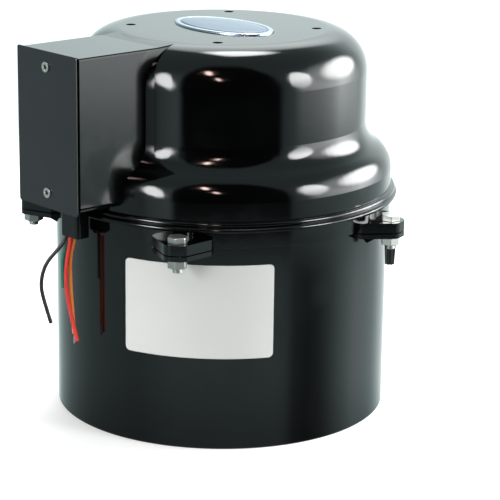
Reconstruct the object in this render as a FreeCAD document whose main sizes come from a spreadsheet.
import FreeCAD, Part
import math
import os
import re
import Sketcher

# Air blower, millimetres. Origin at the centre of the drum's underside on the outlet axis, +Z up.
# The wiring box points along -X and one clamp ear lies on +X.

V = FreeCAD.Vector
doc = FreeCAD.newDocument("air_blower")
sheet = doc.addObject("Spreadsheet::Sheet", "sizes")
known = []
bodies = []


def enter(sizes):
    # Named sizes, each on a row of the sheet with its name beside it
    for alias, value in sizes.items():
        row = str(len(known) + 1)
        sheet.set("A" + row, alias)
        sheet.set("B" + row, str(value))
        sheet.setAlias("B" + row, alias)
        known.append(alias)
    sheet.recompute()


def ex(text):
    # The expression with every size name pointing into the sheet
    return re.sub(r"[a-z][a-z_0-9]*", lambda m: "sizes." + m.group(0) if m.group(0) in known else m.group(0), text)


def val(text):
    # The present value of an expression of sizes
    return float(sheet.evalExpression(ex(text)))


def body(name, turned=None, x=None, y=None):
    # A named sub-part, with its own placement where it isn't on the main axis
    b = doc.addObject("PartDesign::Body", name)
    b.Label = name
    b.AllowCompound = True
    if turned:
        b.Placement = FreeCAD.Placement(V(0, 0, 0), FreeCAD.Rotation(V(0, 0, 1), val(turned)))
        b.setExpression("Placement.Rotation.Angle", ex(turned))
    if x:
        b.setExpression("Placement.Base.x", ex(x))
        b.setExpression("Placement.Base.y", ex(y))
    bodies.append(b)
    return b


def datum(b, role):
    return [f for f in b.Origin.OriginFeatures if f.Role == role][0]


def sketch(b, plane, name, lift=None):
    # A sketch on one of the body's own planes, lifted along that plane's normal
    s = b.newObject("Sketcher::SketchObject", b.Name + "_" + name)
    s.AttachmentSupport = [(datum(b, plane + "_Plane"), "")]
    s.MapMode = "FlatFace"
    if lift:
        s.AttachmentOffset = FreeCAD.Placement(V(0, 0, val(lift)), FreeCAD.Rotation())
        s.setExpression("AttachmentOffset.Base.z", ex(lift))
    return s


def pin(s, geo, pos, x, y):
    # Ties one point of the sketch to two sizes
    for kind, axis, text in (("DistanceX", -2, x), ("DistanceY", -1, y)):
        if text == "0":
            s.addConstraint(Sketcher.Constraint("PointOnObject", geo, pos, axis))
        else:
            n = s.addConstraint(Sketcher.Constraint(kind, -1, 1, geo, pos, val(text)))
            s.setExpression("Constraints[%d]" % n, ex(text))


def loop(s, points):
    # A closed outline; a point with a radius and a side starts an arc, side 1 with its centre on the left
    first = s.GeometryCount
    spots = [V(val(p[0]), val(p[1]), 0) for p in points]
    ends = []
    for i, p in enumerate(points):
        a = spots[i]
        b = spots[(i + 1) % len(points)]
        if len(p) == 2:
            s.addGeometry(Part.LineSegment(a, b), False)
            ends.append((1, 2))
            continue
        radius = val(p[2])
        across = b - a
        half = across.Length / 2
        normal = V(-across.y, across.x, 0).normalize()
        centre = (a + b) * 0.5 + normal * (p[3] * math.sqrt(max(radius ** 2 - half ** 2, 0)))
        start, stop = (a, b) if p[3] > 0 else (b, a)
        low = math.atan2(start.y - centre.y, start.x - centre.x)
        high = math.atan2(stop.y - centre.y, stop.x - centre.x)
        if high < low:
            high += 2 * math.pi
        s.addGeometry(Part.ArcOfCircle(Part.Circle(centre, V(0, 0, 1), radius), low, high), False)
        ends.append((1, 2) if p[3] > 0 else (2, 1))
    for i, p in enumerate(points):
        after = (i + 1) % len(points)
        s.addConstraint(Sketcher.Constraint("Coincident", first + i, ends[i][1], first + after, ends[after][0]))
        pin(s, first + i, ends[i][0], p[0], p[1])
        if len(p) > 2:
            n = s.addConstraint(Sketcher.Constraint("Radius", first + i, val(p[2])))
            s.setExpression("Constraints[%d]" % n, ex(p[2]))


def box(s, x0, y0, x1, y1):
    loop(s, [(x0, y0), (x1, y0), (x1, y1), (x0, y1)])


def soft_box(s, x0, y0, x1, y1, low_r, high_r):
    # A rectangle with one corner radius at its low edge and another at its high edge
    loop(s, [(x0 + " + " + low_r, y0), (x1 + " - " + low_r, y0, low_r, 1),
             (x1, y0 + " + " + low_r), (x1, y1 + " - " + high_r, high_r, 1),
             (x1 + " - " + high_r, y1), (x0 + " + " + high_r, y1, high_r, 1),
             (x0, y1 + " - " + high_r), (x0, y0 + " + " + low_r, low_r, 1)])


def ring(s, x, y, r):
    g = s.addGeometry(Part.Circle(V(val(x), val(y), 0), V(0, 0, 1), val(r)), False)
    pin(s, g, 3, x, y)
    n = s.addConstraint(Sketcher.Constraint("Radius", g, val(r)))
    s.setExpression("Constraints[%d]" % n, ex(r))


def hexagon(s, x, y, flats):
    # A hexagon with two corners on its x axis, sized across the flats
    corners = []
    for k in range(6):
        corners.append(("%s + %s / sqrt(3) * cos(%d)" % (x, flats, 60 * k),
                        "%s + %s / sqrt(3) * sin(%d)" % (y, flats, 60 * k)))
    loop(s, corners)


def turn(b, s, name, cut=False):
    f = b.newObject("PartDesign::Groove" if cut else "PartDesign::Revolution", b.Name + "_" + name)
    f.Profile = s
    f.ReferenceAxis = (s, ["V_Axis"])
    f.Angle = 360
    return f


def push(b, s, name, length, cut=False, up=True, both=False, taper=None):
    # A pad or pocket along the sketch's normal, or against it
    f = b.newObject("PartDesign::Pocket" if cut else "PartDesign::Pad", b.Name + "_" + name)
    f.Profile = s
    f.setExpression("Length", ex(length))
    f.Reversed = up if cut else not up
    if both:
        f.SideType = "Symmetric"
    if taper:
        f.setExpression("TaperAngle", ex(taper))
    return f


def around(b, features, name, count):
    # Copies of features, evenly round the body's Z axis
    f = b.newObject("PartDesign::PolarPattern", b.Name + "_" + name)
    f.Originals = features
    f.Axis = (datum(b, "Z_Axis"), [""])
    f.Angle = 360
    f.setExpression("Occurrences", ex(count))
    b.Tip = f
    return f


def outline(b, name, plane, points, lift=None):
    s = sketch(b, plane, name, lift)
    loop(s, points)
    return s


def washer(name, r0, r1, z0, z1):
    # A plain ring as its own sub-part
    b = body(name)
    s = sketch(b, "XZ", "section")
    box(s, r0, z0, r1, z1)
    turn(b, s, "ring")
    return b


# Common sizes
sizes = {
    "wall": 3,  # wall of the mouldings
    "gap": 0.3,  # seat clearance between pieces
    "ears": 5,  # clamp ears round the seam
    "seam_z": 134,  # parting plane of cover and base
    "gasket_t": 0.8,  # pressed seam gasket
    "rim_z": "=seam_z - gasket_t",  # top of the drum
    "base_r": 111,  # drum outer radius
    "base_in": "=base_r - wall",  # drum inner radius
    "collar_r": "=base_r + 2",  # cover collar outer radius
    "dome_r": "=base_r - 15.8",  # dome outer radius
    "top_z": 254,  # top of the dome
}
enter(sizes)

# Drum: outer wall, recessed floor with the outlet socket and spigot, foam retainer
sizes = {
    "outlet_r": 30.2,  # bore of the pipe socket for a two inch pipe
    "outlet_depth": 38,  # depth of the pipe socket
    "tower_r": "=outlet_r + 3.8",  # outside of the outlet tower
    "tower_top": 42,  # shoulder that the inner duct rests on
    "throat_r": "=outlet_r - 4.2",  # air passage above the pipe stop
    "spigot_r": "=tower_r - 5",  # spigot inside the duct
    "spigot_top": 52,  # top of the spigot
    "floor_low": 14,  # recess under the floor
    "floor_top": "=floor_low + wall",  # top of the floor
    "keep_in": "=base_r - 18.5",  # inside of the filter retainer
    "keep_out": "=base_r - 16.5",  # outside of the filter retainer
    "keep_z": 29,  # top of the filter retainer
    "rim_edge": 0.6,  # small chamfer of the standing rim
}
enter(sizes)
base = body("base_housing")
drum = outline(base, "drum", "XZ", [
    ("outlet_r", "0"), ("tower_r", "0"), ("tower_r", "floor_low"), ("base_in", "floor_low"), ("base_in", "0"),
    ("base_r - rim_edge", "0"), ("base_r", "rim_edge"), ("base_r", "rim_z"), ("base_in", "rim_z"),
    ("base_in", "floor_top"), ("keep_out", "floor_top"), ("keep_out", "keep_z"), ("keep_in", "keep_z"),
    ("keep_in", "floor_top"), ("tower_r", "floor_top"), ("tower_r", "tower_top"), ("spigot_r", "tower_top"),
    ("spigot_r", "spigot_top"), ("throat_r", "spigot_top"), ("throat_r", "outlet_depth"),
    ("outlet_r", "outlet_depth")])
turn(base, drum, "shell")

# Intake slots through the floor
sizes = {
    "slots": 24,  # intake slots
    "slot_w": 5,  # slot width
    "slot_in": "=tower_r + 12",  # inner end of a slot
    "slot_out": "=keep_in - 4.5",  # outer end of a slot
}
enter(sizes)
mouth = sketch(base, "XY", "slot", "floor_low")
box(mouth, "slot_in", "-slot_w / 2", "slot_out", "slot_w / 2")
slot = push(base, mouth, "slot_cut", "wall + 1", cut=True)
around(base, [slot], "slots", "slots")

# Clamp ears: a tapered tab with a rounded nose, the same outline on drum and cover
sizes = {
    "bolt_r": "=base_r + 15.2",  # bolt circle radius
    "ear_half": 19,  # half width of an ear at its root
    "ear_root": "=base_r + 4",  # step where an ear leaves the wall
    "ear_tip": "=bolt_r + 8",  # nose of an ear
    "ear_nose": 2.6,  # half of the flat nose
    "ear_cheek_x": "=bolt_r + 5.4",  # where the nose rounding starts
    "ear_cheek_y": 7.55,  # half width at the nose rounding
    "ear_round": 6,  # nose rounding
    "base_ear_t": 3,  # thickness of a drum ear
    "cover_ear_t": 6.5,  # thickness of a cover ear
    "bolt_hole": 3.4,  # clearance hole radius
}
enter(sizes)
ear_outline = [
    ("base_in + 0.8", "-ear_half"), ("ear_root", "-ear_half"), ("ear_cheek_x", "-ear_cheek_y", "ear_round", 1),
    ("ear_tip", "-ear_nose"), ("ear_tip", "ear_nose", "ear_round", 1), ("ear_cheek_x", "ear_cheek_y"),
    ("ear_root", "ear_half"), ("base_in + 0.8", "ear_half")]
tab = outline(base, "ear", "XY", ear_outline, "rim_z - base_ear_t")
ear = push(base, tab, "ear_pad", "base_ear_t")
bore = sketch(base, "XY", "ear_bore", "rim_z")
ring(bore, "bolt_r", "0", "bolt_hole")
hole = push(base, bore, "ear_hole", "base_ear_t + 1", cut=True, up=False)
sizes = {
    "gusset_w": 6,  # width of the rib under an ear
    "gusset_x": "=base_r + 8",  # reach of the rib
    "gusset_drop": 7.4,  # height of the rib
}
enter(sizes)
web = outline(base, "gusset", "XZ", [
    ("base_r - 1", "rim_z - base_ear_t - gusset_drop"), ("gusset_x - 3", "rim_z - base_ear_t - gusset_drop / 2"),
    ("gusset_x", "rim_z - base_ear_t"), ("base_r - 1", "rim_z - base_ear_t")])
rib = push(base, web, "gusset_pad", "gusset_w", both=True)
around(base, [ear, hole, rib], "ears", "ears")

# Cover: stepped dome turned solid, wiring box and spout added, then the inside cut away
sizes = {
    "bead_z": "=seam_z + 10.4",  # start of the bead above the collar
    "bead_low": "=collar_r + 3.9",  # lower ridge radius
    "bead_high": "=collar_r + 2.6",  # upper ridge radius
    "bead_mid": "=collar_r + 1.9",  # groove between the ridges
    "shoulder_z": "=seam_z + 28.5",  # top of the straight collar
    "shoulder_round": 18,  # rounding of the shoulder
    "neck_round": 17.6,  # hollow between shoulder and dome
    "top_round": 26.7,  # rounding of the dome top
    "step_r": "=dome_r + neck_round - collar_r + shoulder_round",  # radial step between the arc centres
    "step_l": "=shoulder_round + neck_round",  # distance between the arc centres
    "step_z": "=sqrt(step_l^2 - step_r^2)",  # rise between the arc centres
    "mid_r": "=collar_r - shoulder_round + shoulder_round * step_r / step_l",  # where the arcs meet
    "mid_z": "=shoulder_z + shoulder_round * step_z / step_l",  # height where the arcs meet
    "mid_in_r": "=collar_r - shoulder_round + (shoulder_round - wall) * step_r / step_l",  # the same inside
    "mid_in_z": "=shoulder_z + (shoulder_round - wall) * step_z / step_l",  # the same inside, height
    "neck_z": "=shoulder_z + step_z",  # start of the straight dome wall
    "tongue_r": "=base_in - gap",  # register tongue inside the drum
    "tongue_in": "=tongue_r - 2.3",  # inside of the tongue
    "tongue_z": "=seam_z - 5",  # bottom of the tongue
}
enter(sizes)
cover = body("cover")
skin = outline(cover, "skin", "XZ", [
    ("0", "tongue_z"), ("tongue_r", "tongue_z"), ("tongue_r", "seam_z"), ("collar_r", "seam_z"),
    ("collar_r", "bead_z"), ("bead_low - 0.7", "bead_z + 0.4"), ("bead_low", "bead_z + 1.1"),
    ("bead_low", "bead_z + 2.5"), ("bead_mid", "bead_z + 3.7"), ("bead_high", "bead_z + 4.5"),
    ("bead_high", "bead_z + 5.5"), ("collar_r", "bead_z + 6.8"),
    ("collar_r", "shoulder_z", "shoulder_round", 1), ("mid_r", "mid_z", "neck_round", -1),
    ("dome_r", "neck_z"), ("dome_r", "top_z - top_round", "top_round", 1), ("dome_r - top_round", "top_z"),
    ("0", "top_z")])
turn(cover, skin, "solid")

# Wiring box on the side of the cover
sizes = {
    "box_face": "=base_r + 31.3",  # open face of the wiring box
    "box_half": 29.5,  # half width of the wiring box
    "box_low": "=shoulder_z - 7",  # underside of the wiring box
    "box_high": "=top_z - 1",  # top of the wiring box
    "box_low_r": 4,  # rounding of its lower edges
    "box_high_r": 1.5,  # rounding of its upper edges
    "box_root": "=dome_r - 15.2",  # where the box block starts inside the dome
}
enter(sizes)
block = sketch(cover, "YZ", "box", "-box_face")
soft_box(block, "-box_half", "box_low", "box_half", "box_high", "box_low_r", "box_high_r")
push(cover, block, "box_pad", "box_face - box_root")

# Lead spout under the box
sizes = {
    "spout_front": "=base_r + 18.4",  # front of the spout
    "spout_back": "=base_r + 8",  # back of the spout
    "spout_half": 9,  # half width of the spout
    "spout_r": 2.5,  # corner rounding of the spout
    "spout_low": "=seam_z - 1",  # mouth of the spout
}
enter(sizes)
neck = sketch(cover, "XY", "spout", "spout_low")
soft_box(neck, "-spout_front", "-spout_half", "-spout_back", "spout_half", "spout_r", "spout_r")
push(cover, neck, "spout_pad", "box_low - spout_low + 1.5")

# Cover ears, with a scallop that clears the bolt head
sizes = {
    "scallop_r": 14.7,  # clearance round a bolt head
    "scallop_h": 3.7,  # height of the clearance
}
enter(sizes)
tab = outline(cover, "ear", "XY", ear_outline, "seam_z")
ear = push(cover, tab, "ear_pad", "cover_ear_t")
bore = sketch(cover, "XY", "ear_bore", "seam_z")
ring(bore, "bolt_r", "0", "bolt_hole")
hole = push(cover, bore, "ear_hole", "cover_ear_t + 1", cut=True)
bite = sketch(cover, "XY", "scallop", "seam_z + cover_ear_t")
ring(bite, "bolt_r", "0", "scallop_r")
scallop = push(cover, bite, "scallop_cut", "scallop_h", cut=True)
around(cover, [ear, hole, scallop], "ears", "ears")

# Hollow of the cover
hollow = outline(cover, "hollow", "XZ", [
    ("0", "tongue_z - 1"), ("tongue_in", "tongue_z - 1"), ("tongue_in", "seam_z + wall"),
    ("collar_r - wall", "seam_z + wall"), ("collar_r - wall", "shoulder_z", "shoulder_round - wall", 1),
    ("mid_in_r", "mid_in_z", "neck_round + wall", -1), ("dome_r - wall", "neck_z"),
    ("dome_r - wall", "top_z - top_round", "top_round - wall", 1), ("dome_r - top_round", "top_z - wall"),
    ("0", "top_z - wall")])
turn(cover, hollow, "hollow_cut", cut=True)

# Inside of the wiring box, stepped to follow the shoulder
sizes = {
    "cell_low_x": "=base_r + 5.5",  # inner wall of the box at the shoulder
    "cell_high_x": "=dome_r + 2.8",  # inner wall of the box at the dome
    "cell_step": "=box_low + 15.5",  # top of the lower inner wall
    "cell_slope": "=box_low + 44.5",  # foot of the upper inner wall
}
enter(sizes)
cell = outline(cover, "cell", "XZ", [
    ("-box_face - 1", "box_low + wall"), ("-cell_low_x", "box_low + wall"), ("-cell_low_x", "cell_step"),
    ("-cell_high_x", "cell_slope"), ("-cell_high_x", "box_high - wall"), ("-box_face - 1", "box_high - wall")])
push(cover, cell, "cell_cut", "2 * (box_half - wall)", cut=True, both=True)

# Screw bosses of the box and their pilot holes
sizes = {
    "screw_high": "=box_high - 9",  # upper plate screw
    "screw_low": "=box_low + 9",  # lower plate screw
    "boss_half": 5,  # half width of a screw boss
    "boss_depth": 14,  # depth of a screw boss
    "pilot_r": 1.4,  # pilot hole of a plate screw
}
enter(sizes)
for name, low, high in (("upper", "screw_high - boss_half", "box_high - wall + 0.5"),
                        ("lower", "box_low + wall - 0.5", "screw_low + boss_half")):
    pad_face = sketch(cover, "YZ", name + "_boss", "-box_face")
    box(pad_face, "-boss_half", low, "boss_half", high)
    push(cover, pad_face, name + "_boss_pad", "boss_depth")
pilots = sketch(cover, "YZ", "pilots", "-box_face")
ring(pilots, "0", "screw_high", "pilot_r")
ring(pilots, "0", "screw_low", "pilot_r")
push(cover, pilots, "pilot_cut", "boss_depth - 2", cut=True)

# Opening of the spout, harness hole into the box and earth screw hole
sizes = {
    "slot_front": "=spout_front - 1.8",  # front of the spout opening
    "slot_back": "=spout_back + 2",  # back of the spout opening
    "slot_half": 7.6,  # half width of the spout opening
    "slot_round": 1.5,  # corner of the spout opening
}
enter(sizes)
opening = sketch(cover, "XY", "opening", "spout_low - 1")
soft_box(opening, "-slot_front", "-slot_half", "-slot_back", "slot_half", "slot_round", "slot_round")
push(cover, opening, "opening_cut", "box_low - spout_low + wall + 2", cut=True)
sizes = {
    "feed_z": "=box_low + 9.2",  # harness hole into the box
    "feed_r": 4.6,  # radius of the harness hole
}
enter(sizes)
feed = sketch(cover, "YZ", "feed", "-cell_low_x - 1")
ring(feed, "0", "feed_z", "feed_r")
push(cover, feed, "feed_cut", "cell_low_x - 100", cut=True)
sizes = {
    "earth_z": "=box_high - 27",  # earth screw in the box
    "earth_r": 2,  # earth screw radius
    "earth_depth": 4.5,  # earth screw depth
}
enter(sizes)
earth = sketch(cover, "YZ", "earth", "-cell_high_x - 1")
ring(earth, "0", "earth_z", "earth_r")
push(cover, earth, "earth_cut", "earth_depth + 1", cut=True)

# Four posts under the dome press on the fan; a dimple marks each on the outside
sizes = {
    "posts": 4,  # inner posts
    "post_ring": "=dome_r - 34",  # radius of the post circle
    "post_r": 7,  # post radius
    "post_z": "=top_z - 14",  # lower end of the posts
    "dimple_r": 3.25,  # dimple radius
    "dimple_d": 1.2,  # dimple depth
}
enter(sizes)
stud = sketch(cover, "XY", "post", "post_z")
ring(stud, "post_ring * cos(45)", "post_ring * sin(45)", "post_r")
post = push(cover, stud, "post_pad", "top_z - wall - post_z + 0.5")
mark = sketch(cover, "XY", "dimple", "top_z")
ring(mark, "post_ring * cos(45)", "post_ring * sin(45)", "dimple_r")
dimple = push(cover, mark, "dimple_cut", "dimple_d", cut=True, up=False)
around(cover, [post, dimple], "posts", "posts")

# Oval emblem: four tangent arcs, its long axis across the box direction
sizes = {
    "oval_a": 41,  # half length of the oval
    "oval_b": 24,  # half width of the oval
    "oval_end": 16,  # radius of its ends
    # radius of its sides
    "oval_side": "=(oval_a^2 + oval_b^2 - 2 * oval_a * oval_end) / (2 * (oval_b - oval_end))",
    "oval_ux": "=(oval_a - oval_end) / (oval_side - oval_end)",  # direction to the tangent point, along
    "oval_uy": "=(oval_side - oval_b) / (oval_side - oval_end)",  # direction to the tangent point, across
    "seat_d": 0.6,  # depth of the emblem seat
    "badge_w": 4,  # width of the rim of the emblem
}
enter(sizes)


def oval(b, name, lift, inset):
    # The emblem's outline, smaller by the inset all round
    far = "(oval_a - oval_end + (oval_end - %s) * oval_ux)" % inset
    side = "((oval_end - %s) * oval_uy)" % inset
    tip = "oval_end - " + inset
    flank = "oval_side - " + inset
    return outline(b, name, "XY", [(side, "-1 * " + far, flank, 1), (side, far, tip, 1),
                                   ("-1 * " + side, far, flank, 1), ("-1 * " + side, "-1 * " + far, tip, 1)], lift)


sizes = {
    "badge_h": 1.8,  # height of the emblem rim
    "badge_step": 1,  # depth of the field's seat
    "badge_dome": 1.5,  # height of the field above its seat
    "badge_play": 0.15,  # play of the field in the rim
}
enter(sizes)
seat = oval(cover, "emblem_seat", "top_z", "(-gap)")
push(cover, seat, "emblem_cut", "seat_d", cut=True, up=False)
frame = body("emblem_rim")
edge = oval(frame, "edge", "top_z - seat_d", "0")
push(frame, edge, "edge_pad", "badge_h")
edge = oval(frame, "bed", "top_z - seat_d + badge_h", "badge_w")
push(frame, edge, "bed_cut", "badge_step", cut=True, up=False)
field = body("emblem_field")
edge = oval(field, "edge", "top_z - seat_d + badge_h - badge_step", "(badge_w + badge_play)")
push(field, edge, "edge_pad", "badge_dome")

# Gasket pressed in the seam, five bolts through the ears and their nuts
washer("seam_gasket", "base_in + 0.2", "base_r - 0.2", "rim_z", "seam_z")
sizes = {
    "shank_r": 3.1,  # bolt shank radius
    "hex_w": 11.1,  # bolt head and nut across flats
    "head_h": 4,  # bolt head height
    "bolt_l": 19,  # bolt length under the head
    "nut_h": 5.6,  # nut height
}
enter(sizes)
bolts = body("clamp_bolts")
top = sketch(bolts, "XY", "head", "seam_z + cover_ear_t")
hexagon(top, "bolt_r", "0", "hex_w")
head = push(bolts, top, "head_pad", "head_h")
rod = sketch(bolts, "XY", "shank", "seam_z + cover_ear_t")
ring(rod, "bolt_r", "0", "shank_r")
shank = push(bolts, rod, "shank_pad", "bolt_l", up=False)
around(bolts, [head, shank], "set", "ears")
nuts = body("clamp_nuts")
hexed = sketch(nuts, "XY", "nut", "rim_z - base_ear_t")
hexagon(hexed, "bolt_r", "0", "hex_w")
ring(hexed, "bolt_r", "0", "shank_r")
nut = push(nuts, hexed, "nut_pad", "nut_h", up=False)
around(nuts, [nut], "set", "ears")

# Ribbed tapered peg under the drum ear beside the right-hand bolt
sizes = {
    "peg_ring": "=base_r + 10",  # distance of the peg from the axis
    "peg_angle": -66,  # direction of the peg
    "peg_low": "=rim_z - 26.2",  # tip of the peg
    "peg_tip": 3.1,  # tip radius
    "peg_r": 4,  # root radius
    "peg_flutes": 8,  # flutes round the peg
}
enter(sizes)
peg = body("hanging_peg", None, "peg_ring * cos(peg_angle)", "peg_ring * sin(peg_angle)")
turn(peg, outline(peg, "side", "XZ", [
    ("0", "peg_low"), ("peg_tip", "peg_low"), ("peg_r", "rim_z - base_ear_t - 6"),
    ("peg_r", "rim_z - base_ear_t"), ("0", "rim_z - base_ear_t")]), "stem")
flute = sketch(peg, "XY", "flute", "peg_low - 1")
box(flute, "peg_tip - 0.7", "-0.55", "peg_r + 1", "0.55")
flute = push(peg, flute, "flute_cut", "rim_z - base_ear_t - peg_low - 4", cut=True)
around(peg, [flute], "flutes", "peg_flutes")

# Cover plate of the wiring box, its gasket and two screws
sizes = {
    "plate_x": "=box_face + 3",  # outer face of the cover plate
    "plate_t": 2,  # thickness of the cover plate
    "plate_half": "=box_half + 0.5",  # half width of the cover plate
    "plate_low": "=box_low - 1.1",  # lower edge of the cover plate
    "plate_high": "=box_high + 1",  # upper edge of the cover plate
    "plate_r": 4,  # corner radius of the cover plate
    "plate_hole": 1.9,  # screw hole radius in the plate
}
enter(sizes)
plate = body("box_plate")
sheet_face = sketch(plate, "YZ", "face", "-plate_x")
soft_box(sheet_face, "-plate_half", "plate_low", "plate_half", "plate_high", "plate_r", "plate_r")
push(plate, sheet_face, "face_pad", "plate_t")
holes = sketch(plate, "YZ", "holes", "-plate_x")
ring(holes, "0", "screw_high", "plate_hole")
ring(holes, "0", "screw_low", "plate_hole")
push(plate, holes, "hole_cut", "plate_t", cut=True)
sizes = {
    "seal_in": 1.5,  # gasket edge behind the plate edge
    "seal_w": 3,  # gasket width
}
enter(sizes)
seal = body("plate_gasket")
lip = sketch(seal, "YZ", "lip", "-plate_x + plate_t")
box(lip, "-plate_half + seal_in", "box_low + seal_in", "plate_half - seal_in", "box_high - seal_in")
box(lip, "-plate_half + seal_in + seal_w", "box_low + seal_in + seal_w", "plate_half - seal_in - seal_w",
    "box_high - seal_in - seal_w")
push(seal, lip, "lip_pad", "plate_x - plate_t - box_face")
sizes = {
    "pan_r": 3.65,  # plate screw head radius
    "pan_h": 1.8,  # plate screw head height
    "cross_l": 2,  # half length of the cross recess
    "cross_w": 0.5,  # half width of the cross recess
}
enter(sizes)
screws = body("plate_screws")
pans = sketch(screws, "YZ", "heads", "-plate_x")
ring(pans, "0", "screw_high", "pan_r")
ring(pans, "0", "screw_low", "pan_r")
push(screws, pans, "head_pad", "pan_h", up=False)
rods = sketch(screws, "YZ", "shanks", "-plate_x")
ring(rods, "0", "screw_high", "pilot_r")
ring(rods, "0", "screw_low", "pilot_r")
push(screws, rods, "shank_pad", "boss_depth")
for name, wide, tall in (("cross", "cross_l", "cross_w"), ("upright", "cross_w", "cross_l")):
    cut = sketch(screws, "YZ", name, "-plate_x - pan_h")
    box(cut, "-" + wide, "screw_high - " + tall, wide, "screw_high + " + tall)
    box(cut, "-" + wide, "screw_low - " + tall, wide, "screw_low + " + tall)
    push(screws, cut, name + "_cut", "pan_h / 2", cut=True)

# Earth screw in the wiring box
sizes = {
    "earth_head": 4,  # earth screw head radius
}
enter(sizes)
earthing = body("ground_screw")
pan = sketch(earthing, "YZ", "head", "-cell_high_x")
ring(pan, "0", "earth_z", "earth_head")
push(earthing, pan, "head_pad", "wall", up=False)
rod = sketch(earthing, "YZ", "shank", "-cell_high_x")
ring(rod, "0", "earth_z", "earth_r")
push(earthing, rod, "shank_pad", "earth_depth")

# Four leads in a grommet at the mouth of the spout
sizes = {
    "lead_r": 1.1,  # lead radius
    "lead_n": "=(slot_front + slot_back) / 2",  # lead bundle from the axis
    "lead_y": 3.9,  # lead bundle off the middle
    "lead_dn": 1.7,  # half pitch of the leads, in and out
    "lead_dy": 1.6,  # half pitch of the leads, sideways
    "plug_z": "=spout_low + 4",  # foot of the lead grommet, inside the spout
    "plug_h": 8,  # height of the lead grommet
}
enter(sizes)
plug = body("lead_grommet")
block = sketch(plug, "XY", "plug", "plug_z")
soft_box(block, "-slot_front", "-slot_half", "-slot_back", "slot_half", "slot_round", "slot_round")
push(plug, block, "plug_pad", "plug_h")
bores = sketch(plug, "XY", "bores", "plug_z")
for x in ("-lead_n - lead_dn", "-lead_n + lead_dn"):
    for y in ("lead_y - lead_dy", "lead_y + lead_dy"):
        ring(bores, x, y, "lead_r")
push(plug, bores, "bore_cut", "plug_h", cut=True)


def route(b, corners):
    # Straight runs joined by tangent arcs, each arc taking 0.45 of the shorter run beside it
    s = sketch(b, "XZ", "route")
    spots = [V(val(x), val(z), 0) for x, z in corners]
    runs = ["sqrt((%s - (%s))^2 + (%s - (%s))^2)" % (q[0], p[0], q[1], p[1]) for p, q in zip(corners, corners[1:])]
    guides = []
    for i in range(len(corners) - 1):
        g = s.addGeometry(Part.LineSegment(spots[i], spots[i + 1]), True)
        pin(s, g, 1, *corners[i])
        pin(s, g, 2, *corners[i + 1])
        guides.append(g)
    joints = [None]
    for i in range(1, len(corners) - 1):
        before = (spots[i] - spots[i - 1]).normalize()
        after = (spots[i + 1] - spots[i]).normalize()
        reach_text = "0.45 * min(%s; %s)" % (runs[i - 1], runs[i])
        reach = val(reach_text)
        side = 1 if before.cross(after).z > 0 else -1
        radius = reach / math.tan(before.getAngle(after) / 2)
        enter = spots[i] - before * reach
        leave = spots[i] + after * reach
        centre = enter + V(-before.y, before.x, 0) * (side * radius)
        print("bend radius", round(radius, 1))
        start, stop = (enter, leave) if side > 0 else (leave, enter)
        low = math.atan2(start.y - centre.y, start.x - centre.x)
        high = math.atan2(stop.y - centre.y, stop.x - centre.x)
        if high < low:
            high += 2 * math.pi
        g = s.addGeometry(Part.ArcOfCircle(Part.Circle(centre, V(0, 0, 1), radius), low, high), False)
        joints.append((g, 1 if side > 0 else 2, 2 if side > 0 else 1, enter, leave, reach_text, reach))
    joints.append(None)
    for i in range(len(corners) - 1):
        a = joints[i][4] if joints[i] else spots[i]
        c = joints[i + 1][3] if joints[i + 1] else spots[i + 1]
        g = s.addGeometry(Part.LineSegment(a, c), False)
        if joints[i]:
            s.addConstraint(Sketcher.Constraint("Tangent", joints[i][0], joints[i][2], g, 1))
            s.addConstraint(Sketcher.Constraint("PointOnObject", g, 1, guides[i]))
        else:
            s.addConstraint(Sketcher.Constraint("Coincident", g, 1, guides[i], 1))
        if joints[i + 1]:
            s.addConstraint(Sketcher.Constraint("Tangent", g, 2, joints[i + 1][0], joints[i + 1][1]))
            s.addConstraint(Sketcher.Constraint("PointOnObject", g, 2, guides[i]))
            n = s.addConstraint(Sketcher.Constraint("Distance", guides[i], 2, g, 2, joints[i + 1][6]))
            s.setExpression("Constraints[%d]" % n, ex(joints[i + 1][5]))
        else:
            s.addConstraint(Sketcher.Constraint("Coincident", g, 2, guides[i], 2))
    return s


def sweep(b, path, section):
    f = b.newObject("PartDesign::AdditivePipe", b.Name + "_tube")
    f.Profile = section
    f.Spine = (path, [])
    return f


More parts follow.
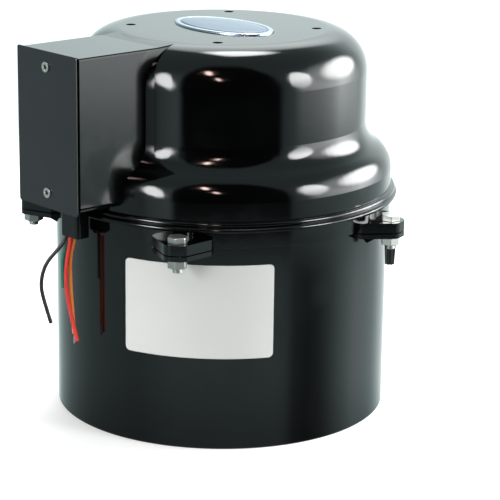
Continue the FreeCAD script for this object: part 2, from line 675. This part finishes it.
# The loose leads hang in the picture plane of the photo, each with its own bends
sizes = {
    "lead_turn": -41.63,  # direction in which the leads sway
    "lead_top": "=box_low + 7.5",  # upper end of the leads, at the harness
    "lead_off": -0.4,  # how far the leads stand aside there
    "lead_bend": "=spout_low + 15",  # height where they straighten
    "black_az": 131,  # black lead, bend at the mouth
    "black_bx": -7.6,  # black lead, second bend, sideways
    "black_bz": 121.5,  # black lead, height there
    "black_cx": -14.6,  # black lead, third bend, sideways
    "black_cz": 113.2,  # black lead, height there
    "black_dx": -17.9,  # black lead, fourth bend, sideways
    "black_dz": 100.5,  # black lead, height there
    "black_ex": -15.9,  # black lead, fifth bend, sideways
    "black_ez": 89,  # black lead, height there
    "black_fx": -11.4,  # black lead, end, sideways
    "black_fz": 73.7,  # black lead, height there
    "red_az": 131,  # red lead, bend at the mouth
    "red_bx": -2.6,  # red lead, second bend, sideways
    "red_bz": 117,  # red lead, height there
    "red_cx": -3.7,  # red lead, third bend, sideways
    "red_cz": 104,  # red lead, height there
    "red_dx": -2.4,  # red lead, fourth bend, sideways
    "red_dz": 90.5,  # red lead, height there
    "red_ex": 0.4,  # red lead, fifth bend, sideways
    "red_ez": 76,  # red lead, height there
    "red_fx": 3.5,  # red lead, end, sideways
    "red_fz": 62.7,  # red lead, height there
    "green_az": 132.5,  # green lead, bend at the mouth
    "green_bx": -5.6,  # green lead, second bend, sideways
    "green_bz": 121,  # green lead, height there
    "green_cx": -6.3,  # green lead, third bend, sideways
    "green_cz": 110,  # green lead, height there
    "green_dx": -6,  # green lead, end, sideways
    "green_dz": 97,  # green lead, height there
    "orange_az": 132,  # orange lead, bend at the mouth
    "orange_bx": -3.4,  # orange lead, second bend, sideways
    "orange_bz": 118,  # orange lead, height there
    "orange_cx": -3.2,  # orange lead, third bend, sideways
    "orange_cz": 104,  # orange lead, height there
    "orange_dx": -2.7,  # orange lead, fourth bend, sideways
    "orange_dz": 88,  # orange lead, height there
    "orange_ex": -1.2,  # orange lead, end, sideways
    "orange_ez": 67,  # orange lead, height there
}
enter(sizes)
for colour, marks, x, y in (("black", "bcdef", "-lead_n - lead_dn", "lead_y + lead_dy"),
                            ("red", "bcdef", "-lead_n - lead_dn", "lead_y - lead_dy"),
                            ("green", "bcd", "-lead_n + lead_dn", "lead_y + lead_dy"),
                            ("orange", "bcde", "-lead_n + lead_dn", "lead_y - lead_dy")):
    lead = body("lead_" + colour, "lead_turn", x, y)
    corners = [("lead_off", "lead_top"), ("0", "lead_bend"), ("0", colour + "_az")]
    corners += [(colour + "_%sx" % mark, colour + "_%sz" % mark) for mark in marks]
    way = route(lead, corners)
    section = sketch(lead, "XY", "section", "lead_top")
    ring(section, "lead_off", "0", "lead_r")
    sweep(lead, way, section)

# Blank rating label round the drum
sizes = {
    "label_angle": -139.4,  # middle of the label
    "label_half": 47.3,  # half width of the label, across the chord
    "label_low": 61,  # lower edge of the label
    "label_high": "=rim_z - base_ear_t - gusset_drop - 0.5",  # upper edge of the label
    "label_r": 3,  # corner radius of the label
    "label_t": 0.2,  # label thickness
}
enter(sizes)
label = body("rating_label", "label_angle")
face = sketch(label, "YZ", "face", "base_r - 20")
soft_box(face, "-label_half", "label_low", "label_half", "label_high", "label_r", "label_r")
push(label, face, "face_pad", "25")
core = sketch(label, "XY", "core", "label_low - 1")
ring(core, "0", "0", "base_r + 0.02")
push(label, core, "core_cut", "label_high - label_low + 2", cut=True)
rind = sketch(label, "XY", "rind", "label_low - 1")
ring(rind, "0", "0", "base_r + label_t")
ring(rind, "0", "0", "base_r + 20")
push(label, rind, "rind_cut", "label_high - label_low + 2", cut=True)

# Intake filter over the slots and sound foam on the walls
sizes = {
    "filter_t": 10,  # thickness of the intake filter
}
enter(sizes)
washer("intake_filter", "tower_r + gap", "keep_in - gap", "floor_top", "floor_top + filter_t")
sizes = {
    "foam_t": 9.7,  # thickness of the drum foam
    "foam_top": "=tongue_z - 2",  # top of the drum foam
}
enter(sizes)
washer("base_foam", "base_in - gap - foam_t", "base_in - gap", "floor_top", "foam_top")
sizes = {
    "liner_t": 8.7,  # thickness of the dome foam
    "liner_low": "=top_z - 57",  # lower edge of the dome foam
    "liner_high": "=liner_low + 25",  # upper edge of the dome foam
}
enter(sizes)
washer("dome_foam", "dome_r - wall - gap - liner_t", "dome_r - wall - gap", "liner_low", "liner_high")

# Inner duct: a funnel on the spigot, a tube round the motor and a ledge that carries the fan
sizes = {
    "pod_t": 2.5,  # wall of the inner duct
    "pod_in": "=dome_r - 33.2",  # inside of the duct round the motor
    "pod_seal": 2,  # gasket under the duct
    "pod_low": "=tower_top + pod_seal",  # foot of the duct
    "cone_low": 54,  # foot of the funnel
    "ledge_z": "=top_z - 80",  # ledge under the fan
    "cone_high": "=ledge_z - 80",  # top of the funnel
    "ledge_in": "=dome_r - 28.2",  # inside of the ledge
    "nest_r": "=dome_r - 14.9",  # inside of the ledge's rim
    "nest_wall": 2,  # thickness of the ledge's rim
    "nest_top": "=ledge_z + 14",  # top of the ledge's rim
}
enter(sizes)
pod = body("motor_pod")
turn(pod, outline(pod, "section", "XZ", [
    ("spigot_r + gap", "pod_low"), ("tower_r", "pod_low"), ("tower_r", "cone_low + 0.5"),
    ("pod_in + pod_t", "cone_high - 1"), ("pod_in + pod_t", "ledge_z - 9"),
    ("nest_r + nest_wall", "ledge_z - pod_t"), ("nest_r + nest_wall", "nest_top"), ("nest_r", "nest_top"),
    ("nest_r", "ledge_z"), ("ledge_in", "ledge_z"), ("pod_in", "ledge_z - 4"), ("pod_in", "cone_high"),
    ("spigot_r + gap", "cone_low")]), "shell")
sizes = {
    "pod_ribs": 8,  # ribs under the ledge
    "pod_rib_t": 2.5,  # thickness of a rib
    "pod_rib_h": 18,  # height of a rib
}
enter(sizes)
web = outline(pod, "rib", "XZ", [
    ("pod_in + 1", "ledge_z - 9 - pod_rib_h"), ("pod_in + pod_t + 1", "ledge_z - 9 - pod_rib_h"),
    ("nest_r", "ledge_z - pod_t - 1"), ("nest_r", "ledge_z - 1"), ("pod_in + 3", "ledge_z - 6")])
rib = push(pod, web, "rib_pad", "pod_rib_t", both=True)
pod_turn = around(pod, [rib], "ribs", "pod_ribs")
sizes = {
    "pass_z": "=ledge_z - 27.5",  # height of the harness through the duct
    "pass_r": 4.4,  # radius of that hole
}
enter(sizes)
feed = sketch(pod, "YZ", "pass", "-pod_in - 20")
ring(feed, "0", "pass_z", "pass_r")
push(pod, feed, "pass_cut", "24", cut=True)
washer("pod_gasket", "spigot_r + gap", "tower_r", "tower_top", "pod_low")

# Grommets of the harness, in the duct wall and in the wall of the wiring box
sizes = {
    "sleeve_r": 2,  # harness radius
    "lip_t": 1.5,  # thickness of a grommet's flange
    "lip_r": 5.8,  # radius of a grommet's flange
}
enter(sizes)
for name, x, deep, z, r, free in (
        ("pod_grommet", "pod_in + pod_t", "pod_t", "pass_z", "pass_r", "0.7"),
        ("wall_grommet", "cell_low_x", "cell_low_x - 110", "feed_z", "feed_r", "1.1")):
    grommet = body(name)
    collar = sketch(grommet, "YZ", "lip", "-%s - lip_t" % x)
    ring(collar, "0", z, "lip_r")
    push(grommet, collar, "lip_pad", "lip_t")
    collar = sketch(grommet, "YZ", "neck", "-" + x)
    ring(collar, "0", z, r)
    push(grommet, collar, "neck_pad", deep)
    collar = sketch(grommet, "YZ", "bore", "-%s - lip_t - 1" % x)
    ring(collar, "0", z, "sleeve_r + " + free)
    push(grommet, collar, "bore_cut", deep + " + lip_t + 2", cut=True)

# Harness from the motor to the wiring box
sizes = {
    "sleeve_ax": -47.4,  # harness start at the motor
    "sleeve_bx": "=-(pod_in + 13)",  # harness, first bend
    "sleeve_cx": "=-(base_r - 11)",  # harness, second bend
    "sleeve_cz": "=feed_z - 3.2",  # harness, second bend height
    "sleeve_ex": "=-(base_r + 16)",  # harness end in the box
    "sleeve_ez": "=feed_z + 3",  # harness end height
}
enter(sizes)
harness = body("motor_harness")
way = route(harness, [("sleeve_ax", "pass_z"), ("sleeve_bx", "pass_z"), ("sleeve_cx", "sleeve_cz"),
                      ("sleeve_ex", "sleeve_ez")])
section = sketch(harness, "YZ", "section", "sleeve_ax")
ring(section, "0", "pass_z", "sleeve_r")
sweep(harness, way, section)

# Fan can with the intake eye on top, held between two rubber rings
sizes = {
    "can_r": "=nest_r - 8.3",  # fan can outer radius
    "can_t": 1.5,  # fan can sheet
    "can_top": "=post_z - 4",  # top of the fan can
    "can_low": "=ledge_z + 4",  # lower edge of the fan can
    "eye_r": 24,  # intake eye radius
    "eye_lip": 2.8,  # depth of the eye's lip
}
enter(sizes)
can = body("fan_can")
turn(can, outline(can, "section", "XZ", [
    ("eye_r", "can_top - eye_lip"), ("eye_r + can_t", "can_top - eye_lip"), ("eye_r + can_t", "can_top - can_t"),
    ("can_r - can_t", "can_top - can_t"), ("can_r - can_t", "can_low"), ("can_r", "can_low"),
    ("can_r", "can_top - 2", "2", 1), ("can_r - 2", "can_top"), ("eye_r", "can_top")]), "shell")
lower = body("lower_mount")
turn(lower, outline(lower, "section", "XZ", [
    ("ledge_in + gap", "ledge_z"), ("nest_r", "ledge_z"), ("nest_r", "nest_top - 0.5"), ("can_r", "nest_top - 0.5"),
    ("can_r", "can_low"), ("ledge_in + gap", "can_low")]), "ring")
sizes = {
    "ring_in": "=can_r - 18",  # inside of the upper rubber ring
    "ring_out": "=can_r - 3.5",  # outside of the upper rubber ring
}
enter(sizes)
washer("upper_mount", "ring_in", "ring_out", "can_top", "post_z")

# Fan bracket: carries the upper bearing, the stator and the fan can
sizes = {
    "shaft_r": 4,  # shaft radius
    "bearing_r": 11,  # bearing outer radius
    "bearing_h": 7,  # bearing width
    "bearing_play": 0.05,  # running clearance of the shaft
    "high_bearing": "=ledge_z + 2",  # foot of the upper bearing
    "low_bearing": "=ledge_z - 84",  # foot of the lower bearing
    "spider_r": "=can_r - 1.8",  # radius of the fan bracket
    "spider_top": "=ledge_z + 14",  # top of the fan bracket
    "spider_t": 4,  # thickness of the fan bracket
    "hub_r": 16,  # bearing hub radius
    "spacer_r": 6.5,  # radius of the lower shaft spacer
}
enter(sizes)
spider = body("fan_bracket")
turn(spider, outline(spider, "section", "XZ", [
    ("spacer_r + 1", "spider_top"), ("spider_r", "spider_top"), ("spider_r", "can_low"), ("spider_r - wall", "can_low"),
    ("spider_r - wall", "spider_top - spider_t"), ("hub_r", "spider_top - spider_t"), ("hub_r", "high_bearing - 1"),
    ("bearing_r", "high_bearing - 1"), ("bearing_r", "high_bearing + bearing_h"),
    ("spacer_r + 1", "high_bearing + bearing_h")]), "plate")
sizes = {
    "ports": 6,  # air ports of the fan bracket
    "port_in": 46,  # inner radius of a port
    "port_out": "=spider_r - 6.2",  # outer radius of a port
    "port_half": 20,  # half angle of a port
}
enter(sizes)
port = outline(spider, "port", "XY", [
    ("port_in * cos(port_half)", "-1 * port_in * sin(port_half)"),
    ("port_out * cos(port_half)", "-1 * port_out * sin(port_half)", "port_out", 1),
    ("port_out * cos(port_half)", "port_out * sin(port_half)"),
    ("port_in * cos(port_half)", "port_in * sin(port_half)", "port_in", -1)], "spider_top - spider_t - 1")
port = push(spider, port, "port_cut", "spider_t + 2", cut=True)
around(spider, [port], "ports", "ports")
sizes = {
    "stack_low": "=spider_top - 58",  # foot of the lamination stacks
    "stack_top": "=spider_top - 22",  # top of the lamination stacks
    "tie_r": 43,  # distance of the through bolts from the axis
    "tie_shank": 2.05,  # through bolt radius
    "leg_r": 4.4,  # radius of the bracket legs
    "ties": 2,  # through bolts
}
enter(sizes)
foot = sketch(spider, "XY", "leg", "stack_top")
ring(foot, "0", "tie_r", "leg_r")
leg = push(spider, foot, "leg_pad", "spider_top - stack_top - 1")
foot = sketch(spider, "XY", "leg_bore", "stack_top - 1")
ring(foot, "0", "tie_r", "tie_shank")
leg_bore = push(spider, foot, "leg_bore_cut", "spider_top - stack_top - 1", cut=True)
around(spider, [leg, leg_bore], "legs", "ties")

# Two ball bearings, each with recessed shields
sizes = {
    "race_in": 5.9,  # inner ring outer radius
    "race_out": 9,  # outer ring inner radius
}
enter(sizes)
for name, foot in (("upper_bearing", "high_bearing"), ("lower_bearing", "low_bearing")):
    bearing = body(name)
    top = foot + " + bearing_h"
    turn(bearing, outline(bearing, "section", "XZ", [
        ("shaft_r + bearing_play", foot), ("race_in", foot), ("race_in", foot + " + 0.5"),
        ("race_out", foot + " + 0.5"), ("race_out", foot), ("bearing_r", foot), ("bearing_r", top),
        ("race_out", top), ("race_out", top + " - 0.5"), ("race_in", top + " - 0.5"), ("race_in", top),
        ("shaft_r + bearing_play", top)]), "rings")

# Commutator bracket with the lower bearing, two posts and two brush seats
sizes = {
    "bridge_low": "=low_bearing + 6",  # underside of the commutator bracket
    "bridge_t": 4,  # thickness of the commutator bracket
    "bridge_r": 47.5,  # radius of the commutator bracket
}
enter(sizes)
bridge = body("commutator_bracket")
turn(bridge, outline(bridge, "section", "XZ", [
    ("spacer_r", "low_bearing + bearing_h"), ("bearing_r", "low_bearing + bearing_h"), ("bearing_r", "low_bearing - 1"),
    ("hub_r - 1", "low_bearing - 1"), ("hub_r - 1", "bridge_low"), ("bridge_r", "bridge_low"),
    ("bridge_r", "bridge_low + bridge_t"), ("spacer_r", "bridge_low + bridge_t")]), "plate")
sizes = {
    "window_in": 19,  # inner radius of a window
    "window_out": 40,  # outer radius of a window
    "window_a": 22,  # start angle of a window
    "window_b": 68,  # end angle of a window
    "windows": 4,  # windows of the commutator bracket
}
enter(sizes)
pane = outline(bridge, "window", "XY", [
    ("window_in * cos(window_a)", "window_in * sin(window_a)"),
    ("window_out * cos(window_a)", "window_out * sin(window_a)", "window_out", 1),
    ("window_out * cos(window_b)", "window_out * sin(window_b)"),
    ("window_in * cos(window_b)", "window_in * sin(window_b)", "window_in", -1)], "bridge_low - 1")
pane = push(bridge, pane, "window_cut", "bridge_t + 2", cut=True)
around(bridge, [pane], "windows", "windows")
foot = sketch(bridge, "XY", "post", "bridge_low + bridge_t - 0.5")
ring(foot, "0", "tie_r", "leg_r")
leg = push(bridge, foot, "post_pad", "stack_low - bridge_low - bridge_t + 0.5")
foot = sketch(bridge, "XY", "post_bore", "bridge_low - 1")
ring(foot, "0", "tie_r", "tie_shank + 0.15")
leg_bore = push(bridge, foot, "post_bore_cut", "stack_low - bridge_low + 2", cut=True)
around(bridge, [leg, leg_bore], "posts", "ties")
sizes = {
    "brush_z": "=bridge_low + 16",  # height of the brush centre
    "brush_w": 3.5,  # half width of a brush
    "brush_h": 4.5,  # half height of a brush
    "brush_l": 18,  # length of a brush
    "brush_tip": 13.3,  # brush tip from the axis
    "brush_play": 0.3,  # play of a brush in its holder
    "holder_in": 17,  # inner end of a brush holder
    "holder_out": 45,  # outer end of a brush holder
    "holder_wall": 1.7,  # wall of a brush holder
    "seat_w": 5,  # half width of a brush seat
}
enter(sizes)
seat = sketch(bridge, "XY", "seat", "bridge_low + bridge_t - 0.5")
box(seat, "holder_in + 3", "-seat_w", "holder_out", "seat_w")
seat = push(bridge, seat, "seat_pad", "brush_z - brush_h - brush_play - holder_wall - bridge_low - bridge_t + 0.5")
around(bridge, [seat], "seats", "ties")

# Brush holders, brushes and their springs, one set on each side
sizes = {
    "side_a": 0,  # first brush direction
    "side_b": 180,  # second brush direction
    "coil_gap": 0.3,  # spring seat clearance
    "coil_r": 2.6,  # mean radius of a brush spring
    "coil_w": 0.35,  # half thickness of the spring wire
    "coil_turns": 5,  # turns of a brush spring
}
enter(sizes)
for side, face, tilt in (("a", "1", "90"), ("b", "-1", "-90")):
    holder = body("brush_holder_" + side, "side_" + side)
    tube = sketch(holder, "YZ", "tube", "holder_in")
    box(tube, "-brush_w - brush_play - holder_wall", "brush_z - brush_h - brush_play - holder_wall",
        "brush_w + brush_play + holder_wall", "brush_z + brush_h + brush_play + holder_wall")
    push(holder, tube, "tube_pad", "holder_out - holder_in")
    tube = sketch(holder, "YZ", "bore", "holder_in")
    box(tube, "-brush_w - brush_play", "brush_z - brush_h - brush_play", "brush_w + brush_play",
        "brush_z + brush_h + brush_play")
    push(holder, tube, "bore_cut", "holder_out - holder_in - holder_wall", cut=True)
    brush = body("brush_" + side, "side_" + side)
    bar = sketch(brush, "YZ", "bar", "brush_tip")
    box(bar, "-brush_w", "brush_z - brush_h", "brush_w", "brush_z + brush_h")
    push(brush, bar, "bar_pad", "brush_l")
    spring = body("brush_spring_" + side)
    spring.Placement = FreeCAD.Placement(V(0, 0, 0), FreeCAD.Rotation(V(0, 1, 0), float(tilt)))
    spring.setExpression("Placement.Base.x", ex(face + " * (brush_tip + brush_l + coil_gap)"))
    spring.setExpression("Placement.Base.z", ex("brush_z"))
    wire = sketch(spring, "XZ", "wire")
    box(wire, "coil_r - coil_w", "0", "coil_r + coil_w", "2 * coil_w")
    helix = spring.newObject("PartDesign::AdditiveHelix", spring.Name + "_helix")
    helix.Profile = wire
    helix.ReferenceAxis = (wire, ["V_Axis"])
    helix.Mode = "height-turns-angle"
    helix.Outside = False
    helix.setExpression("Height", ex("holder_out - holder_wall - brush_tip - brush_l - coil_gap - 2 * coil_w"))
    helix.setExpression("Turns", ex("coil_turns"))

# Through bolts of the motor
sizes = {
    "tie_head": 3.6,  # through bolt head radius
    "tie_head_h": 4,  # through bolt head height
}
enter(sizes)
ties = body("motor_bolts")
pan = sketch(ties, "XY", "head", "bridge_low")
ring(pan, "0", "tie_r", "tie_head")
head = push(ties, pan, "head_pad", "tie_head_h", up=False)
rod = sketch(ties, "XY", "shank", "bridge_low")
ring(rod, "0", "tie_r", "tie_shank")
shank = push(ties, rod, "shank_pad", "spider_top - bridge_low - 2")
around(ties, [head, shank], "set", "ties")

# Stator stack with two poles, and a coil round each pole
sizes = {
    "stator_r": 47,  # stator outer radius
    "yoke_in": 39,  # inside of the stator yoke
    "pole_r": 23.5,  # bore between the poles
    "shoe_r": 27,  # back of a pole shoe
    "shoe_half": 55,  # half angle of a pole shoe
    "pole_w": 11,  # half width of a pole neck
}
enter(sizes)
stator = body("field_core")
yoke = sketch(stator, "XY", "yoke", "stack_low")
ring(yoke, "0", "0", "stator_r")
ring(yoke, "0", "0", "yoke_in")
push(stator, yoke, "yoke_pad", "stack_top - stack_low")
pole = outline(stator, "pole", "XY", [
    ("yoke_in + 1", "-pole_w"), ("yoke_in + 1", "pole_w"), ("sqrt(shoe_r^2 - pole_w^2)", "pole_w", "shoe_r", 1),
    ("shoe_r * cos(shoe_half)", "shoe_r * sin(shoe_half)"),
    ("pole_r * cos(shoe_half)", "pole_r * sin(shoe_half)", "pole_r", -1),
    ("pole_r * cos(shoe_half)", "-1 * pole_r * sin(shoe_half)"),
    ("shoe_r * cos(shoe_half)", "-1 * shoe_r * sin(shoe_half)", "shoe_r", 1),
    ("sqrt(shoe_r^2 - pole_w^2)", "-pole_w")], "stack_low")
pole = push(stator, pole, "pole_pad", "stack_top - stack_low")
around(stator, [pole], "poles", "ties")
bolt_way = sketch(stator, "XY", "bolt_way", "stack_low - 1")
ring(bolt_way, "0", "tie_r", "tie_shank + 0.15")
bolt_way = push(stator, bolt_way, "bolt_way_cut", "stack_top - stack_low + 2", cut=True)
around(stator, [bolt_way], "bolt_ways", "ties")
sizes = {
    "coil_x": 27.5,  # inner face of a field coil
    "coil_t": 6.5,  # thickness of a field coil
    "coil_out": 18.8,  # half width of a field coil
    "coil_over": 9,  # how far a coil stands out of the stack
    "coil_round": 7,  # corner radius of a field coil
}
enter(sizes)
coils = body("field_coils")
turns = sketch(coils, "YZ", "turns", "coil_x")
soft_box(turns, "-coil_out", "stack_low - coil_over", "coil_out", "stack_top + coil_over", "coil_round", "coil_round")
box(turns, "-pole_w - gap", "stack_low - gap", "pole_w + gap", "stack_top + gap")
coil = push(coils, turns, "turns_pad", "coil_t")
around(coils, [coil], "set", "ties")
sizes = {
    "cutout_half": 6,  # half width of the thermal cut-out
    "cutout_h": 4.5,  # height of the thermal cut-out
}
enter(sizes)
cutout = body("thermal_protector")
case = sketch(cutout, "XY", "case", "stack_top + coil_over")
box(case, "coil_x", "-cutout_half", "coil_x + coil_t", "cutout_half")
push(cutout, case, "case_pad", "cutout_h")

# Shaft with its spacers, armature and commutator
sizes = {
    "shaft_low": "=low_bearing - 3",  # lower end of the shaft
    "shaft_top": "=can_top - 5.5",  # upper end of the shaft
}
enter(sizes)
axle = body("shaft")
turn(axle, outline(axle, "side", "XZ", [
    ("0", "shaft_low"), ("shaft_r - 0.5", "shaft_low"), ("shaft_r", "shaft_low + 0.5"), ("shaft_r", "shaft_top - 0.5"),
    ("shaft_r - 0.5", "shaft_top"), ("0", "shaft_top")]), "rod")
sizes = {
    "rotor_r": 22.9,  # armature radius
    "rotor_slots": 12,  # armature slots
    "rotor_slot_in": 13,  # bottom of an armature slot
    "rotor_slot_w": 1.2,  # half width of an armature slot
}
enter(sizes)
rotor = body("armature_core")
disc = sketch(rotor, "XY", "disc", "stack_low")
ring(disc, "0", "0", "rotor_r")
ring(disc, "0", "0", "shaft_r")
push(rotor, disc, "disc_pad", "stack_top - stack_low")
groove = sketch(rotor, "XY", "groove", "stack_low - 1")
box(groove, "rotor_slot_in", "-rotor_slot_w", "rotor_r + 1", "rotor_slot_w")
groove = push(rotor, groove, "groove_cut", "stack_top - stack_low + 2", cut=True)
around(rotor, [groove], "grooves", "rotor_slots")
sizes = {
    "wound_r": 20,  # radius of the end turns
    "wound_h": 6.5,  # height of the upper end turns
    "wound_low": 9,  # height of the lower end turns
    "wound_in": 5.5,  # inside of the end turns
}
enter(sizes)
winding = body("armature_winding")
ends = sketch(winding, "XZ", "ends")
loop(ends, [("wound_in", "stack_top"), ("wound_r", "stack_top"), ("wound_r", "stack_top + wound_h / 2"),
            ("wound_r - 5", "stack_top + wound_h"), ("wound_in", "stack_top + wound_h")])
loop(ends, [("wound_in", "stack_low"), ("wound_in", "stack_low - wound_low"), ("wound_r - 5", "stack_low - wound_low"),
            ("wound_r", "stack_low - wound_low / 2"), ("wound_r", "stack_low")])
turn(winding, ends, "end_turns")
sizes = {
    "bar_w": 1,  # half width of the wire in a slot
}
enter(sizes)
bar = sketch(winding, "XY", "bar", "stack_low - 0.5")
box(bar, "rotor_slot_in + gap", "-bar_w", "rotor_r - 0.9", "bar_w")
bar = push(winding, bar, "bar_pad", "stack_top - stack_low + 1")
around(winding, [bar], "bars", "rotor_slots")
sizes = {
    "comm_low": "=bridge_low + 8",  # lower end of the commutator
    "comm_high": "=comm_low + 16",  # upper end of the commutator
    "comm_r": 13,  # commutator radius
    "riser_r": 15,  # riser radius
    "riser_h": 3,  # riser height
    "comm_bars": 20,  # commutator bars
    "comm_slot": 0.3,  # half width between two bars
}
enter(sizes)
copper = body("commutator")
turn(copper, outline(copper, "section", "XZ", [
    ("shaft_r", "comm_low"), ("comm_r", "comm_low"), ("comm_r", "comm_high - riser_h"),
    ("riser_r", "comm_high - riser_h"), ("riser_r", "comm_high"), ("shaft_r", "comm_high")]), "barrel")
undercut = sketch(copper, "XY", "undercut", "comm_low - 1")
box(undercut, "comm_r - 0.9", "-comm_slot", "riser_r + 1", "comm_slot")
undercut = push(copper, undercut, "undercut_cut", "comm_high - comm_low + 2", cut=True)
around(copper, [undercut], "undercuts", "comm_bars")

# Two impellers of one pattern, each with curved vanes between two plates
sizes = {
    "fan_r": "=can_r - 7",  # impeller radius
    "fan_t": 1.2,  # impeller sheet
    "vane_h": 8.8,  # vane height
    "vane_t": 1.6,  # vane thickness, measured round the axis
    "vane_in": 25,  # inner end of a vane
    "vane_turn": 50,  # sweep of a vane
    "vane_lead": 6,  # direction of a vane's inner end
    "vane_curve": 50,  # curve radius of a vane
    "vanes": 7,  # vanes of an impeller
    "fan_eye": 22,  # impeller eye
    "fan_hub": 9,  # impeller hub radius
    "fan_hub_h": 1,  # hub height over the plate
    "fan_high": "=can_top - 16",  # foot of the first impeller
    "fan_low": "=fan_high - 28",  # foot of the second impeller
}
enter(sizes)


def vane(b, name, lift, inner, outer, height):
    # One curved vane of even thickness, drawn as two arcs
    ends = []
    for r, a in ((inner, "vane_lead"), (outer, "vane_lead - vane_turn"),
                 (outer, "vane_lead - vane_turn + vane_t / %s * 57.3" % outer),
                 (inner, "vane_lead + vane_t / %s * 57.3" % inner)):
        ends.append(("%s * cos(%s)" % (r, a), "%s * sin(%s)" % (r, a)))
    s = outline(b, name, "XY", [ends[0] + ("vane_curve", -1), ends[1], ends[2] + ("vane_curve", 1), ends[3]], lift)
    return push(b, s, name + "_pad", height)


for name, foot in (("impeller_first", "fan_high"), ("impeller_second", "fan_low")):
    fan = body(name)
    top = foot + " + fan_t + vane_h"
    plates = sketch(fan, "XZ", "plates")
    loop(plates, [("shaft_r", foot + " - fan_hub_h"), ("fan_hub", foot + " - fan_hub_h"), ("fan_hub", foot),
                  ("fan_r", foot), ("fan_r", foot + " + fan_t"), ("fan_hub", foot + " + fan_t"),
                  ("fan_hub", foot + " + fan_t + fan_hub_h"), ("shaft_r", foot + " + fan_t + fan_hub_h")])
    loop(plates, [("fan_eye", top), ("fan_r", top), ("fan_r", top + " + fan_t"), ("fan_eye + 1", top + " + fan_t"),
                  ("fan_eye + 1", top + " + fan_t + 1"), ("fan_eye", top + " + fan_t + 1")])
    turn(fan, plates, "plates_turn")
    blade = vane(fan, "vane", foot + " + fan_t - 0.2", "vane_in", "(fan_r - 0.5)", "vane_h + 0.4")
    around(fan, [blade], "vanes", "vanes")
sizes = {
    "nut_r": 13,  # impeller nut across flats
    "nut_t": 5.5,  # impeller nut height
}
enter(sizes)
lock = body("impeller_nut")
hexed = sketch(lock, "XY", "nut", "fan_high + fan_t + fan_hub_h")
hexagon(hexed, "0", "0", "nut_r")
ring(hexed, "0", "0", "shaft_r")
push(lock, hexed, "nut_pad", "nut_t")
sizes = {
    "tube_r": 8,  # radius of the spacer between the impellers
}
enter(sizes)
washer("impeller_spacer", "shaft_r", "tube_r", "fan_low + fan_t + fan_hub_h", "fan_high - fan_hub_h")
washer("shaft_collar", "shaft_r", "spacer_r", "high_bearing + bearing_h + gap", "fan_low - fan_hub_h")

# Guide between the stages: turns the air back to the second eye
sizes = {
    "guide_z": "=fan_low + 13.5",  # lower plate of the guide
    "guide_top": "=guide_z + 10",  # underside of its upper plate
    "guide_r": "=can_r - 5.5",  # radius of its upper plate
    "guide_skirt": "=can_r - 1.6",  # radius of its skirt
    "guide_bore": 9.2,  # hole for the spacer
    "guide_vanes": 8,  # guide vanes
}
enter(sizes)
guide = body("stage_guide")
plates = sketch(guide, "XZ", "plates")
loop(plates, [("eye_r", "guide_z"), ("guide_skirt - can_t", "guide_z"), ("guide_skirt - can_t", "spider_top"),
              ("guide_skirt", "spider_top"), ("guide_skirt", "guide_z + can_t"), ("eye_r", "guide_z + can_t")])
loop(plates, [("guide_bore", "guide_top"), ("guide_r", "guide_top"), ("guide_r", "guide_top + can_t"),
              ("guide_bore", "guide_top + can_t")])
turn(guide, plates, "plates_turn")
blade = vane(guide, "vane", "guide_z + can_t - 0.2", "(eye_r + 2)", "(guide_r - 0.5)",
             "guide_top - guide_z - can_t + 0.4")
around(guide, [blade], "vanes", "guide_vanes")

# Check every piece and write it
doc.recompute()
os.makedirs("parts", exist_ok=True)
for item in doc.Objects:
    if "Invalid" in item.State or "Error" in item.State:
        raise RuntimeError("not built: " + item.Name)
for b in bodies:
    if b.Shape.isNull() or not b.Shape.isValid() or not b.Shape.Solids:
        raise RuntimeError("bad shape: " + b.Label)
    b.Shape.exportStep("parts/" + b.Label + ".step")
    print(b.Label, len(b.Shape.Solids), "solid", round(b.Shape.Volume / 1000, 2), "cm3")
print(len(bodies), "pieces")
